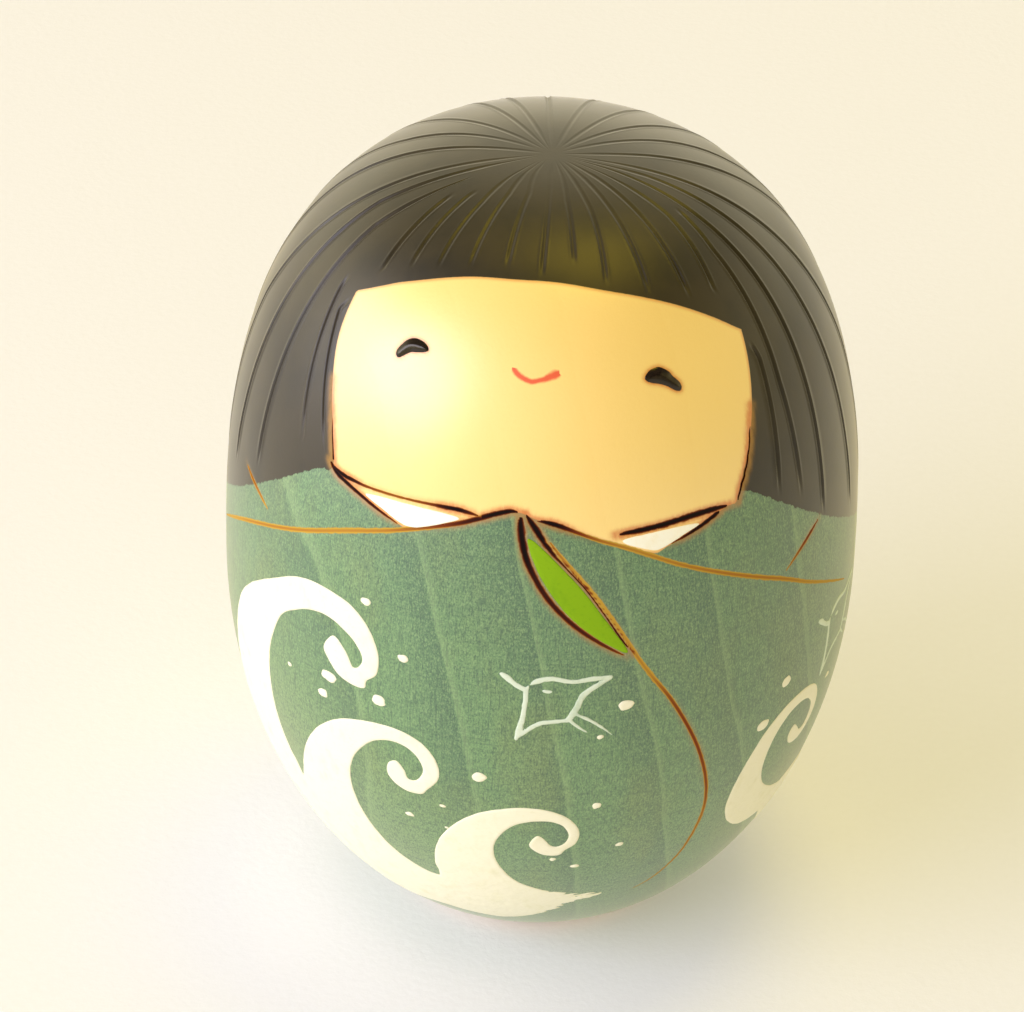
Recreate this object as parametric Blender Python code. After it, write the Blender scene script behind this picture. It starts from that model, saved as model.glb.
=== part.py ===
"""Egg-shaped turned wooden kokeshi doll.

Frame: metres, +Z up, origin at the middle of the underside, where the doll rests.
The face looks along -Y. Azimuth is measured from the front, positive towards +X.

The doll is one turned and carved block. A relief bore runs up its core from below, a turned
plug closes the bore's mouth, and a felt pad covers the foot.
"""

import math

import bmesh
import bpy
from mathutils import Matrix

# Driving dimensions, in metres.
BODY_RADIUS = 0.040
WIDEST_HEIGHT = 0.050
CROWN_RISE = 0.057
BASE_FALL = 0.0525
CROWN_POWER = 2.6
CROWN_ROOT = 2.7
BASE_POWER = 2.0
BASE_ROOT = 2.2

FELT_THICKNESS = 0.0010
FELT_RADIUS = 0.0145
GLUE_GAP = 0.0003
FOOT_HEIGHT = FELT_THICKNESS + GLUE_GAP
FOOT_EDGE = 0.0008

BORE_RADIUS = 0.0100
BORE_DEPTH = 0.062
BORE_TIP_ANGLE = math.radians(59)
PLUG_LENGTH = 0.009
PLUG_CHAMFER = 0.0008

GROOVE_COUNT = 32
GROOVE_HALF_WIDTH = 0.00055
GROOVE_DEPTH = 0.0006
GROOVE_FADE = 0.004
GROOVE_START_RADIUS = 0.0035

# Where the hair ends: over the brow, down both sides of the face, and round to the nape.
FACE_HALF_ANGLE = math.radians(47)
FRINGE_HEIGHT = 0.1024
FRINGE_DROP = 0.0060
HAIR_TEMPLE_HEIGHT = 0.078
HAIR_NAPE_HEIGHT = 0.042
HAIR_FALL_ANGLE = math.radians(48)
HAIR_FALL_START = math.radians(42)
HAIR_FALL_POWER = 1.25
FACE_CHIN_HEIGHT = 0.077

COLUMNS_PER_GROOVE = 4
CROWN_RINGS = 17
BASE_RINGS = 10
TURNED_STEPS = 64
SMOOTH_ANGLE = math.radians(30)


def clear_scene():
    for old in list(bpy.data.objects):
        bpy.data.objects.remove(old, do_unlink=True)


def make_material(name, colour, roughness):
    material = bpy.data.materials.new(name)
    material.use_nodes = True
    shader = material.node_tree.nodes["Principled BSDF"]
    shader.inputs["Base Color"].default_value = (*colour, 1.0)
    shader.inputs["Roughness"].default_value = roughness
    shader.inputs["Metallic"].default_value = 0.0
    return material


def radius_at(height):
    """The turned outline: one rounded curve above the widest height and another below it."""
    above = height - WIDEST_HEIGHT
    if above >= 0:
        rest = 1 - min(above / CROWN_RISE, 1.0) ** CROWN_POWER
        return BODY_RADIUS * rest ** (1 / CROWN_ROOT)
    rest = 1 - (-above / BASE_FALL) ** BASE_POWER
    return BODY_RADIUS * rest ** (1 / BASE_ROOT)


def outer_profile():
    """(radius, height) down the outside, from the crown to the edge of the foot."""
    points = []
    for i in range(CROWN_RINGS):
        turn = math.pi / 2 * (1 - i / CROWN_RINGS)
        height = WIDEST_HEIGHT + CROWN_RISE * math.sin(turn)
        points.append((radius_at(height), height))
    lowest = FOOT_HEIGHT + FOOT_EDGE
    fall = WIDEST_HEIGHT - lowest
    for i in range(BASE_RINGS + 1):
        height = WIDEST_HEIGHT - fall * math.sin(math.pi / 2 * i / BASE_RINGS)
        points.append((radius_at(height), height))
    foot_radius = points[-1][0] - FOOT_EDGE
    points.append((foot_radius + FOOT_EDGE * 0.35, FOOT_HEIGHT + FOOT_EDGE * 0.25))
    points.append((foot_radius - FOOT_EDGE * 0.6, FOOT_HEIGHT))
    return points


def bore_profile():
    """(radius, height) up the inside of the relief bore, from its mouth to its drilled tip."""
    shoulder = FOOT_HEIGHT + BORE_DEPTH
    tip = shoulder + BORE_RADIUS / math.tan(BORE_TIP_ANGLE)
    plug_seat = FOOT_HEIGHT + PLUG_LENGTH + GLUE_GAP
    return [
        (BORE_RADIUS, FOOT_HEIGHT),
        (BORE_RADIUS, plug_seat),
        (BORE_RADIUS, shoulder),
        (0.0, tip),
    ]


def turn_profile(mesh, profile, steps):
    """Spins a (radius, height) profile round Z. It runs down the outside, so faces point out."""
    corners = [mesh.verts.new((radius, 0.0, height)) for radius, height in profile]
    edges = [mesh.edges.new(pair) for pair in zip(corners, corners[1:])]
    bmesh.ops.spin(
        mesh,
        geom=corners + edges,
        axis=(0, 0, 1),
        cent=(0, 0, 0),
        angle=math.tau,
        steps=steps,
        use_duplicate=False,
    )
    bmesh.ops.remove_doubles(mesh, verts=mesh.verts, dist=1e-6)
    bmesh.ops.recalc_face_normals(mesh, faces=mesh.faces)


def hair_end(azimuth):
    """The height at which the hair stops at this azimuth."""
    side = abs(azimuth)
    if side < FACE_HALF_ANGLE:
        return FRINGE_HEIGHT - FRINGE_DROP * (side / FACE_HALF_ANGLE) ** 2
    fall = ((side - HAIR_FALL_START) / HAIR_FALL_ANGLE) ** HAIR_FALL_POWER
    return HAIR_NAPE_HEIGHT + (HAIR_TEMPLE_HEIGHT - HAIR_NAPE_HEIGHT) * math.exp(-fall)


def groove_depth(azimuth, radius, height):
    """Each gouge cut fades in near the whorl and out above the end of the hair."""
    end_height = hair_end(azimuth)
    if height <= end_height:
        return 0.0
    start = (radius - GROOVE_START_RADIUS) / GROOVE_FADE
    end = math.hypot(height - end_height, radius_at(end_height) - radius) / GROOVE_FADE
    return GROOVE_DEPTH * max(0.0, min(start, end, 1.0))


def carve_hair(mesh):
    """Draws each groove's two edge columns together and sinks the column between them."""
    groove_pitch = math.tau / GROOVE_COUNT
    column_pitch = groove_pitch / COLUMNS_PER_GROOVE
    for corner in mesh.verts:
        radius = math.hypot(corner.co.x, corner.co.y)
        in_bore = radius <= BORE_RADIUS and corner.co.z < BORE_DEPTH + 2 * BORE_RADIUS
        if in_bore or radius < GROOVE_START_RADIUS:
            continue
        azimuth = math.atan2(corner.co.x, -corner.co.y)
        column = round(azimuth / column_pitch) % COLUMNS_PER_GROOVE
        groove = round(azimuth / groove_pitch) * groove_pitch
        depth = groove_depth(groove, radius, corner.co.z)
        if depth <= 0 or column == COLUMNS_PER_GROOVE // 2:
            continue
        if column == 0:
            steepness = max(0.0, (corner.co.z - WIDEST_HEIGHT) / CROWN_RISE)
            corner.co.x *= 1 - depth / radius
            corner.co.y *= 1 - depth / radius
            corner.co.z -= depth * steepness
            continue
        side = 1 if azimuth > groove else -1
        edge = groove + side * min(GROOVE_HALF_WIDTH / radius, column_pitch)
        corner.co.x = radius * math.sin(edge)
        corner.co.y = -radius * math.cos(edge)


def region_of(face):
    """0 for the kimono, 1 for the hair, 2 for the bare wood of the face, bore and foot."""
    centre = face.calc_center_median()
    if math.hypot(centre.x, centre.y) < BORE_RADIUS + 0.001 and centre.z < WIDEST_HEIGHT:
        return 2
    if centre.z <= FOOT_HEIGHT + 0.0001:
        return 2
    azimuth = math.atan2(centre.x, -centre.y)
    if centre.z > hair_end(azimuth):
        return 1
    inside_face = abs(azimuth) < FACE_HALF_ANGLE and centre.z > FACE_CHIN_HEIGHT
    return 2 if inside_face else 0


def finish_object(name, mesh, materials):
    data = bpy.data.meshes.new(name)
    mesh.to_mesh(data)
    mesh.free()
    for material in materials:
        data.materials.append(material)
    data.shade_smooth()
    data.set_sharp_from_angle(angle=SMOOTH_ANGLE)
    made = bpy.data.objects.new(name, data)
    bpy.context.scene.collection.objects.link(made)
    return made


def make_body():
    """The carved block. A quarter turn puts one groove exactly on the front centre line."""
    mesh = bmesh.new()
    profile = outer_profile() + bore_profile()
    turn_profile(mesh, profile, GROOVE_COUNT * COLUMNS_PER_GROOVE)
    quarter_turn = Matrix.Rotation(-math.pi / 2, 3, "Z")
    bmesh.ops.rotate(mesh, verts=mesh.verts, cent=(0, 0, 0), matrix=quarter_turn)
    carve_hair(mesh)
    for face in mesh.faces:
        face.material_index = region_of(face)
    kimono = make_material("green_stain", (0.10, 0.19, 0.15), 0.45)
    hair = make_material("black_lacquer", (0.02, 0.02, 0.018), 0.38)
    bare = make_material("clear_coated_wood", (0.85, 0.62, 0.33), 0.35)
    return finish_object("turned_body", mesh, [kimono, hair, bare])


def make_plug():
    """The turned plug glued into the bore's mouth, flush with the foot."""
    radius = BORE_RADIUS - GLUE_GAP
    low = FOOT_HEIGHT
    high = FOOT_HEIGHT + PLUG_LENGTH
    profile = [
        (0.0, high),
        (radius - PLUG_CHAMFER, high),
        (radius, high - PLUG_CHAMFER),
        (radius, low),
        (0.0, low),
    ]
    mesh = bmesh.new()
    turn_profile(mesh, profile, TURNED_STEPS)
    wood = make_material("bare_wood", (0.80, 0.62, 0.40), 0.6)
    return finish_object("bore_plug", mesh, [wood])


def make_felt_pad():
    """The round felt pad glued under the foot, which the doll rests on."""
    profile = [
        (0.0, FELT_THICKNESS),
        (FELT_RADIUS, FELT_THICKNESS),
        (FELT_RADIUS, 0.0),
        (0.0, 0.0),
    ]
    mesh = bmesh.new()
    turn_profile(mesh, profile, TURNED_STEPS)
    felt = make_material("felt", (0.06, 0.10, 0.07), 0.95)
    return finish_object("felt_pad", mesh, [felt])


clear_scene()
make_body()
make_plug()
make_felt_pad()
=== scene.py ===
"""Looks of an egg-shaped turned and painted kokeshi doll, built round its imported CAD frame.

Frame: metres, +Z up, origin under the middle of the foot, face towards -Y.

The decoration is laid out on the doll's own skin: an azimuth in degrees, counted from the front
and positive towards +X, and a height in millimetres above the table. Distances on the skin, line
widths and paint thicknesses are in millimetres. Everything is turned into metres when a mesh is made.
"""

import math

import bpy
import numpy as np
from mathutils import Matrix, Vector


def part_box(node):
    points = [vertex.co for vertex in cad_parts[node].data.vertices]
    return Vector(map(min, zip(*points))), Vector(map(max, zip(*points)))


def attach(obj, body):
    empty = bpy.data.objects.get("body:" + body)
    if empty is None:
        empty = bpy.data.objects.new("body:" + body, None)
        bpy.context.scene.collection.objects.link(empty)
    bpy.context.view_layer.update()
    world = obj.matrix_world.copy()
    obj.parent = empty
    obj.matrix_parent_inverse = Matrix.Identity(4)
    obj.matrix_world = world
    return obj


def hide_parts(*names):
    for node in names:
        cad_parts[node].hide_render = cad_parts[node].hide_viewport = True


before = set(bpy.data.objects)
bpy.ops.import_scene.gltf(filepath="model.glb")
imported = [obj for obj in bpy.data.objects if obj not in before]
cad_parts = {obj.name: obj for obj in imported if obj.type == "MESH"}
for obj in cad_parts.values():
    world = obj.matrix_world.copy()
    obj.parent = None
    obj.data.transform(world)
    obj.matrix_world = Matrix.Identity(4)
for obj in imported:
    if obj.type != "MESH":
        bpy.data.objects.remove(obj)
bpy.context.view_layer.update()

MM = 0.001

# -------- The turned outline, the same curve as the CAD body

BODY_LOW, BODY_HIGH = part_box("turned_body")
BODY_RADIUS = (BODY_HIGH.x - BODY_LOW.x) / 2 / MM
CROWN_HEIGHT = BODY_HIGH.z / MM
FOOT_HEIGHT = BODY_LOW.z / MM
CROWN_RISE = 57.0
WIDEST_HEIGHT = CROWN_HEIGHT - CROWN_RISE
BASE_FALL = 52.5
CROWN_POWER, CROWN_ROOT = 2.6, 2.7
BASE_POWER, BASE_ROOT = 2.0, 2.2
FOOT_EDGE = 0.8
PLUG_LOW, PLUG_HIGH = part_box("bore_plug")
BORE_RADIUS = (PLUG_HIGH.x - PLUG_LOW.x) / 2 / MM + 0.3
BORE_SHOULDER = FOOT_HEIGHT + 62.0
BORE_TIP = BORE_SHOULDER + BORE_RADIUS / math.tan(math.radians(59))


def radius_at(height):
    """Radius of the turned outline at a height."""
    above = np.asarray(height, float) - WIDEST_HEIGHT
    up = np.clip(above / CROWN_RISE, 0, 1)
    down = np.clip(-above / BASE_FALL, 0, 1)
    crown = (1 - up**CROWN_POWER) ** (1 / CROWN_ROOT)
    base = (1 - down**BASE_POWER) ** (1 / BASE_ROOT)
    return BODY_RADIUS * np.where(above >= 0, crown, base)


def dense_outline():
    """Heights from the crown down to the foot edge, and the arc length from the crown to each."""
    turn = np.linspace(math.pi / 2, 0, 3000)
    upper = WIDEST_HEIGHT + CROWN_RISE * np.sin(turn)
    fall = WIDEST_HEIGHT - FOOT_HEIGHT - FOOT_EDGE
    lower = WIDEST_HEIGHT - fall * np.sin(np.linspace(0, math.pi / 2, 3000))
    heights = np.concatenate([upper, lower[1:]])
    steps = np.hypot(np.diff(heights), np.diff(radius_at(heights)))
    return heights, np.concatenate([[0.0], np.cumsum(steps)])


OUTLINE_HEIGHTS, OUTLINE_ARCS = dense_outline()


def arc_at(height):
    """Distance down the skin from the crown to a height."""
    return np.interp(-np.asarray(height, float), -OUTLINE_HEIGHTS, OUTLINE_ARCS)


def height_at(arc):
    return np.interp(arc, OUTLINE_ARCS, OUTLINE_HEIGHTS)


def skin_points(azimuth, height, lift=0.0):
    """Points on the skin in millimetres, lifted along its normal."""
    azimuth = np.radians(azimuth)
    arc = arc_at(height)
    step = 0.05
    before, after = height_at(arc - step), height_at(arc + step)
    fall, spread = before - after, radius_at(after) - radius_at(before)
    length = np.hypot(fall, spread)
    out, up = fall / length, spread / length
    radius = radius_at(height) + lift * out
    return np.stack(
        [radius * np.sin(azimuth), -radius * np.cos(azimuth), height + lift * up], axis=-1
    )


# -------- Drawing on the skin


def smooth_step(low, high, value):
    place = np.clip((value - low) / (high - low), 0, 1)
    return place * place * (3 - 2 * place)


def rounded(points, closed=False, per_span=8):
    """A smooth curve through the points. Each point may carry more values, which follow along."""
    points = np.asarray(points, float)
    if closed:
        points = np.vstack([points[-1], points, points[:2]])
    else:
        points = np.vstack([2 * points[0] - points[1], points, 2 * points[-1] - points[-2]])
    found = []
    for i in range(1, len(points) - 2):
        a, b, c, d = points[i - 1 : i + 3]
        square, cube = 2 * a - 5 * b + 4 * c - d, 3 * b - a - 3 * c + d
        for t in np.arange(per_span) / per_span:
            found.append(0.5 * (2 * b + (c - a) * t + square * t**2 + cube * t**3))
    if not closed:
        found.append(points[-2])
    return np.array(found)


def line_distance(azimuth, height, path):
    """Signed distance to an open path, and the path's further values at the nearest place."""
    arc = arc_at(height)
    radius = np.maximum(radius_at(height), 0.5)
    path_arc = arc_at(path[:, 1])
    best = np.full(azimuth.shape, np.inf)
    signed = np.full(azimuth.shape, 99.0)
    extras = np.zeros(azimuth.shape + (path.shape[1] - 2,))
    for i in range(len(path) - 1):
        ax = np.radians(path[i, 0] - azimuth) * radius
        bx = np.radians(path[i + 1, 0] - azimuth) * radius
        ay, by = path_arc[i] - arc, path_arc[i + 1] - arc
        dx, dy = bx - ax, by - ay
        along = np.clip(-(ax * dx + ay * dy) / (dx * dx + dy * dy + 1e-12), 0, 1)
        px, py = ax + along * dx, ay + along * dy
        distance = np.hypot(px, py)
        closer = distance < best
        side = np.where(px * dy - py * dx > 0, 1.0, -1.0)
        best = np.where(closer, distance, best)
        signed = np.where(closer, side * distance, signed)
        value = path[i, 2:] + along[..., None] * (path[i + 1, 2:] - path[i, 2:])
        extras = np.where(closer[..., None], value, extras)
    return signed, extras


def area_distance(azimuth, height, outline):
    """Signed distance to a closed outline, negative inside."""
    ring = np.vstack([outline, outline[:1]])
    distance = np.abs(line_distance(azimuth, height, ring)[0])
    inside = np.zeros(azimuth.shape, bool)
    for (a0, z0), (a1, z1) in zip(ring[:-1], ring[1:]):
        if z0 == z1:
            continue
        spans = (z0 > height) != (z1 > height)
        crossing = a0 + (height - z0) * (a1 - a0) / (z1 - z0)
        inside ^= spans & (azimuth < crossing)
    return np.where(inside, -distance, distance)


def hand_noise(x, y, seed):
    """Smooth random bumps from -1 to 1, one unit apart."""
    table = np.random.default_rng(seed).uniform(-1, 1, (64, 64))
    x0, y0 = np.floor(x).astype(int), np.floor(y).astype(int)
    fx, fy = smooth_step(0, 1, x - x0), smooth_step(0, 1, y - y0)
    a, b = table[x0 % 64, y0 % 64], table[(x0 + 1) % 64, y0 % 64]
    c, d = table[x0 % 64, (y0 + 1) % 64], table[(x0 + 1) % 64, (y0 + 1) % 64]
    return (a * (1 - fx) + b * fx) * (1 - fy) + (c * (1 - fx) + d * fx) * fy


def unevenness(azimuth, height, wide, tall, seed):
    """Random bumps on the skin, this many millimetres wide and tall."""
    return hand_noise(np.radians(azimuth) * BODY_RADIUS / wide, height / tall, seed)


# -------- The decoration: azimuth in degrees, height in millimetres

FACE_TOP = [
    (-51.8, 97.1), (-46, 98.6), (-40, 99.9), (-30, 101.3), (-20, 102.1), (-8, 102.4), (4, 102.4),
    (15, 101.9), (28, 100.8), (38, 99.3), (46, 97.3), (52.6, 94.9),
]
FACE_RIGHT = [(52.6, 94.9), (50.7, 91.5), (48.2, 87.5), (45, 83), (42, 79.5), (40.2, 77)]
FACE_LEFT = [
    (-39.9, 78.9), (-41.2, 81.2), (-43.2, 84.4), (-45.6, 87.6), (-49.5, 92.5), (-51.8, 97.1),
]
FACE_FOOT = [
    (40.2, 77), (38.4, 77.1), (36.5, 76.8), (33, 75.9), (30, 75.2), (25.4, 74.2), (23.5, 73.6),
    (21.5, 73.8), (17, 75.1), (12.7, 76.2), (8.4, 77.4), (6, 78.0), (3.5, 78.6), (1.3, 78.9),
    (-1.2, 79.6), (-3.6, 79.7), (-7, 79.0), (-12, 77.6), (-18, 76.2), (-22.5, 75.1), (-25.6, 75.7),
    (-29, 76.4), (-34, 77.5), (-39.9, 78.9),
]

HAIR_TEMPLE_HEIGHT, HAIR_NAPE_HEIGHT = 78.2, 42.0
HAIR_FALL_START, HAIR_FALL_ANGLE, HAIR_FALL_POWER = 42.0, 55.0, 1.2
HAIR_FRONT_LIFT, HAIR_EDGE_LEAN = 8.0, 0.82

# Burnt lines: azimuth, height, half width, and darkness from 0, golden, to 1, charred.
BURNT_LINES = {
    "left_lapel": [
        (-84, 54.5, 0.05, 0.0), (-70.2, 60.4, 0.25, 0.05), (-60, 64.2, 0.3, 0.12),
        (-46, 68.6, 0.34, 0.12), (-35, 72.0, 0.36, 0.1), (-25, 74.5, 0.34, 0.15),
        (-18, 76.2, 0.33, 0.4), (-12, 77.6, 0.34, 0.75), (-7, 79.0, 0.36, 1.0),
        (-3.6, 79.7, 0.3, 1.0), (-1.6, 79.6, 0.08, 0.8),
    ],
    "left_collar_fold": [
        (-41.2, 79.6, 0.15, 0.8), (-39, 78.5, 0.3, 1.0), (-34, 77.5, 0.26, 0.95),
        (-29, 76.4, 0.22, 0.85), (-25.6, 75.7, 0.15, 0.6), (-23.2, 75.2, 0.05, 0.3),
    ],
    "left_collar_edge": [
        (-40.6, 79.2, 0.12, 0.9), (-38, 78.7, 0.3, 1.0), (-34.5, 78.6, 0.24, 0.9),
        (-31, 78.6, 0.2, 0.45), (-20, 78.95, 0.2, 0.45), (-16, 79.05, 0.28, 0.9),
        (-13, 79.05, 0.3, 1.0), (-10.5, 78.85, 0.22, 0.7), (-8.8, 78.6, 0.05, 0.4),
    ],
    "right_lapel": [
        (1.3, 78.8, 0.1, 0.7), (3.5, 78.55, 0.32, 1.0), (6, 78.05, 0.34, 0.95),
        (8.4, 77.4, 0.28, 0.6), (12.7, 76.2, 0.28, 0.25), (17, 75.1, 0.3, 0.12),
        (21.5, 73.7, 0.32, 0.1), (28.3, 71.3, 0.33, 0.12), (40, 67.4, 0.34, 0.14),
        (50.6, 63.7, 0.32, 0.12), (58, 60.6, 0.26, 0.06), (68, 56.6, 0.18, 0.0),
        (78, 52.6, 0.05, 0.0),
    ],
    "right_collar_edge": [
        (15.8, 76.65, 0.05, 0.8), (18.5, 76.8, 0.32, 1.0), (24, 77.0, 0.42, 1.0),
        (30, 77.3, 0.42, 1.0), (35, 77.3, 0.4, 1.0), (38.4, 77.1, 0.12, 0.9),
    ],
    "right_collar_fold": [
        (36.5, 76.8, 0.3, 1.0), (33, 75.9, 0.3, 1.0), (30, 75.2, 0.24, 0.95),
        (27.5, 74.7, 0.16, 0.6), (25.4, 74.3, 0.05, 0.3),
    ],
    "lining_left": [
        (-1.5, 79.3, 0.12, 0.9), (-1.5, 78.3, 0.4, 1.0), (-1.1, 76.4, 0.48, 1.0),
        (-0.3, 74.1, 0.46, 1.0), (1.3, 71.6, 0.4, 0.9), (3.6, 68.9, 0.38, 0.85),
        (6.4, 66.5, 0.37, 0.8), (9.6, 64.3, 0.34, 0.75), (13, 62.4, 0.28, 0.7),
        (15.8, 61.0, 0.2, 0.6), (18.2, 59.9, 0.05, 0.4),
    ],
    "lining_right": [
        (-0.7, 79.5, 0.12, 0.9), (0.8, 78.2, 0.42, 1.0), (2.4, 76.6, 0.4, 1.0),
        (4.2, 74.9, 0.3, 0.9), (6.6, 73.0, 0.13, 0.75), (10.4, 69.9, 0.11, 0.8),
        (13.8, 66.3, 0.12, 0.8), (16.9, 62.6, 0.13, 0.85), (19.2, 60.2, 0.05, 0.7),
    ],
    "overlap": [
        (3.4, 76.6, 0.1, 0.2), (6, 74.2, 0.26, 0.15), (9, 71.7, 0.3, 0.05),
        (13, 68.0, 0.3, 0.0), (17, 63.4, 0.26, 0.05), (20, 59.6, 0.3, 0.1),
        (22.6, 56.6, 0.33, 0.1), (26, 53.0, 0.32, 0.35), (29.3, 48.7, 0.3, 0.45),
        (32.4, 43.9, 0.3, 0.45), (34.9, 38.8, 0.3, 0.4), (36.3, 34.5, 0.28, 0.35),
        (36.6, 30.7, 0.26, 0.2), (35.6, 26.0, 0.24, 0.2), (34.0, 22.5, 0.2, 0.15),
        (30, 18.6, 0.16, 0.05), (24, 16.0, 0.05, 0.0),
    ],
    "left_cheek": [
        (-46.2, 88.4, 0.04, 0.7), (-44.2, 85.8, 0.08, 0.8), (-42.4, 83.2, 0.1, 0.9),
        (-41.0, 81.0, 0.12, 1.0), (-40.3, 79.4, 0.14, 1.0),
    ],
    "right_cheek": [
        (47.7, 87.4, 0.04, 0.9), (46.1, 84.8, 0.1, 1.0), (44.5, 82.1, 0.14, 1.0),
        (42.9, 80.0, 0.17, 1.0), (41.7, 78.7, 0.18, 1.0), (40.5, 77.0, 0.1, 0.9),
    ],
    "left_shoulder": [
        (-66.7, 70.0, 0.1, 0.3), (-63, 69.2, 0.3, 0.35), (-59, 68.4, 0.28, 0.2),
        (-55, 67.4, 0.06, 0.0),
    ],
    "right_shoulder": [
        (62.2, 68.3, 0.1, 0.4), (59, 67.3, 0.3, 0.55), (55, 65.9, 0.28, 0.35),
        (50.8, 64.3, 0.06, 0.1),
    ],
}

MOUTH = [
    (-5.4, 95.25, 0.24), (-4.2, 94.7, 0.28), (-2.3, 94.2, 0.27), (-0.7, 94.02, 0.25),
    (1.6, 94.25, 0.27), (3.0, 94.5, 0.34), (4.3, 94.73, 0.42), (5.7, 94.95, 0.3),
]

LEFT_EYE = [
    (-33.1, 93.9), (-33.1, 94.3), (-32.5, 94.9), (-31.7, 95.4), (-30.6, 95.75), (-29.0, 95.9),
    (-27.0, 95.75), (-25.9, 95.45), (-25.6, 95.2), (-26.0, 95.0), (-27.1, 94.8), (-28.3, 94.65),
    (-29.5, 94.5), (-30.4, 94.2), (-31.1, 93.9), (-31.9, 93.6), (-32.6, 93.6),
]
RIGHT_EYE = [
    (24.4, 93.6), (24.8, 93.95), (25.8, 94.3), (27.1, 94.45), (28.5, 94.4), (30.3, 93.8),
    (30.9, 93.3), (31.7, 92.85), (32.3, 92.4), (32.4, 91.95), (31.9, 91.65), (31.0, 91.75),
    (30.1, 92.05), (29.2, 92.4), (27.6, 92.8), (25.7, 93.1), (24.9, 93.3),
]

LEFT_PATCH = [
    (-32.0, 77.7), (-29, 78.05), (-24, 78.25), (-18, 78.35), (-13.6, 78.2), (-12.8, 77.9),
    (-15, 77.2), (-19, 76.1), (-21.5, 75.6), (-24, 75.7), (-28, 76.7), (-31, 77.35),
]
RIGHT_PATCH = [
    (17.0, 75.8), (18, 76.1), (22, 76.3), (27, 76.4), (31.2, 76.25), (31.8, 75.95), (29, 75.3),
    (26, 74.5), (23.4, 74.0), (20.5, 74.6), (18, 75.3),
]
LINING = [
    (0.2, 76.5), (1.6, 75.9), (4.1, 74.3), (6.8, 72.3), (10.2, 69.5), (13.5, 66.1), (16.4, 62.9),
    (18.0, 61.0), (17.4, 60.7), (13.4, 62.6), (10.0, 64.6), (7.0, 66.8), (4.3, 69.4), (2.1, 72.0),
    (0.6, 74.4), (-0.1, 76.2),
]

BIG_WAVE = [
    (-50.0, 29.4), (-51.8, 32.4), (-53.6, 36.5), (-54.4, 41), (-54.2, 46), (-53, 50), (-50, 54.6),
    (-46, 57.0), (-42, 58.5), (-38, 59.1), (-34.5, 58.5), (-31.5, 57.2), (-29.8, 55.3),
    (-30.6, 53.8), (-31.8, 53.4), (-32.5, 54.2), (-33.6, 55.4), (-36.2, 56.7), (-38.5, 54.4),
    (-37.2, 52.7), (-34.8, 51.2), (-31.5, 50.7), (-29.3, 51.0), (-28.8, 52.2), (-26.9, 53.6),
    (-26.4, 55.8), (-27.2, 58.2), (-29.3, 60.6), (-32.6, 62.3), (-37, 62.9), (-42, 62.8),
    (-47, 61.6), (-52, 59.4), (-57, 57.0), (-62, 54.2), (-66, 51), (-69, 46.5), (-71.5, 40),
    (-74, 30), (-78, 18), (-60, 14), (-48, 20),
]

MIDDLE_WAVE = [
    (-16.4, 19.5), (-20, 20.3), (-24, 21.6), (-27.5, 23.4), (-30.4, 26), (-32.8, 29.5),
    (-33.9, 33.5), (-33.4, 37), (-31.6, 40), (-28.6, 42.6), (-25.4, 44), (-22, 44.2), (-19.3, 43.2),
    (-17.9, 41.3), (-18.3, 39.8), (-19.6, 38.8), (-21, 38.8), (-21.6, 40), (-23, 41.2),
    (-24.7, 40.5), (-25.1, 38.8), (-24, 37.4), (-21.5, 36.5), (-18.6, 36.6), (-17.3, 37.6),
    (-15.3, 39.5), (-14.8, 41.2), (-15.6, 43.4), (-18, 45.3), (-21.5, 46.3), (-25.5, 46.4),
    (-30, 45.8), (-35, 44.4), (-39.6, 41.8), (-43, 38.8), (-46, 35), (-48.2, 31), (-50, 26),
    (-46, 16), (-30, 14),
]

SMALL_WAVE = [
    (18.5, 17.6), (12, 18.4), (7, 19.1), (2.8, 20.2), (-0.6, 21.6), (-3.2, 23.9), (-4.8, 26.5),
    (-4.9, 29.3), (-3.4, 31.8), (-1, 33.6), (2, 34.4), (5.2, 34.5), (7.8, 33.7), (9.2, 31.8),
    (8.6, 30.3), (7.2, 29.6), (5.9, 29.8), (5, 30.7), (3.3, 31.7), (1.8, 30), (2.8, 28.7),
    (5, 27.8), (7.6, 27.8), (8.8, 28.8), (10.6, 30), (11.2, 31.8), (10.3, 33.8), (8, 35.5),
    (4.5, 36.6), (0.2, 36.9), (-4, 36.3), (-8, 35.1), (-11.8, 32.9), (-15, 29.9), (-17, 26.6),
    (-17.8, 23.2), (-17.5, 20.6), (-19, 14), (-10, 9.8), (-2, 10), (5, 12), (11, 14.6), (16, 16.4),
]

FAR_WAVE = [
    (66, 25.6), (61, 26.7), (56.5, 28.2), (52.8, 30.4), (50.8, 33.2), (50.8, 36.4), (52.4, 39.2),
    (55.4, 41.1), (58.8, 41.6), (61.8, 41), (63.9, 39.4), (64.1, 37.5), (62.9, 36.2), (61.3, 36.1),
    (60.2, 37), (58.4, 38.1), (57.1, 36.9), (57.9, 35.3), (60, 34.5), (62.6, 34.6), (65.2, 35.8),
    (66.6, 37.8), (66.2, 40.2), (64.2, 42.3), (60.8, 43.4), (57, 43.5), (53, 42.8), (49, 41),
    (45.8, 38), (43.5, 34.4), (42.6, 30.6), (43.8, 27.6), (46.5, 25.2), (50.5, 23.3), (56, 22.4),
    (62, 22.6),
]

FOAM = [
    (-75, 22), (-60, 22), (-45, 22), (-25, 18.5), (-17, 19.4), (-10, 18), (-4, 15), (-3, 10),
    (-12, 9.7), (-22, 10.3), (-34, 9.2), (-50, 8.2), (-66, 8.5), (-80, 12),
]

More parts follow.
